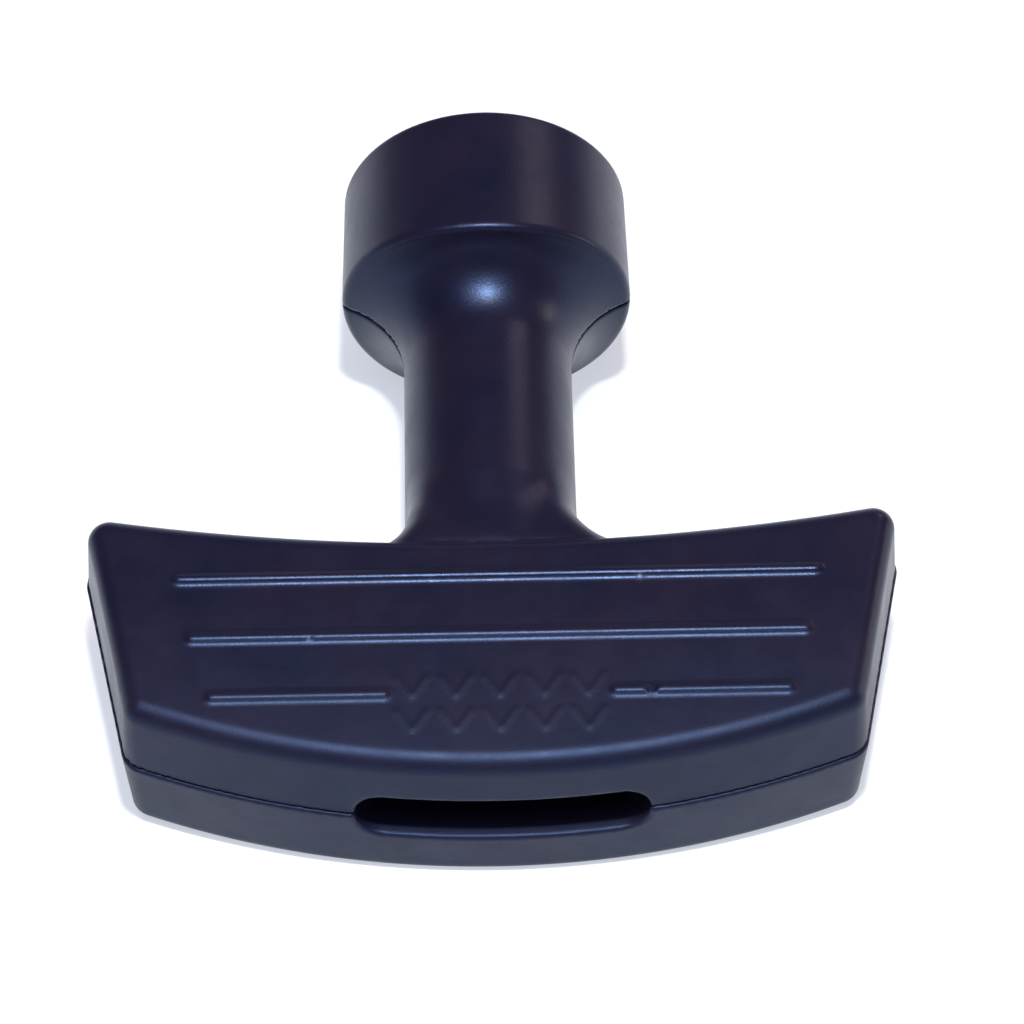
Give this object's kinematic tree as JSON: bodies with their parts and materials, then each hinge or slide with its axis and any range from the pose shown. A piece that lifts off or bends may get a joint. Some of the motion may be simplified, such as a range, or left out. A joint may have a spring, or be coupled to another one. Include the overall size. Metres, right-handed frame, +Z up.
{
  "type": "recoil starter handle",
  "caption": "T-shaped pull handle of an engine's recoil starter: two moulded shells with a cupped head, a round neck, a ridged grip and a palm slot, and the cross rod its rope is tied to.",
  "frame": {"origin": "on the table, under the middle of the whole handle's box, as it lies on its back", "axes": "+X across the grip; +Y from the palm side towards the head, along the rope axis seen from above; +Z up, on the side of the ridged front face. The rope axis climbs 5 degrees from +Y towards +Z, because the head is thicker than the grip"},
  "size_m": [0.1072, 0.1052, 0.0409],
  "materials": {
    "front_moulding": "satin, black with a violet cast",
    "rear_moulding": "satin, black with a violet cast",
    "rod_steel": "zinc plated"
  },
  "bodies": {
    "handle": {"front_shell": "front_moulding", "rear_shell": "rear_moulding"},
    "rod": {"rope_rod": "rod_steel"}
  },
  "joints": [
    {"name": "rod_slide", "type": "slide", "parent": "handle", "child": "rod", "axis": [0, -0.9963, -0.0864], "range_m": [0, 0.034]}
  ]
}
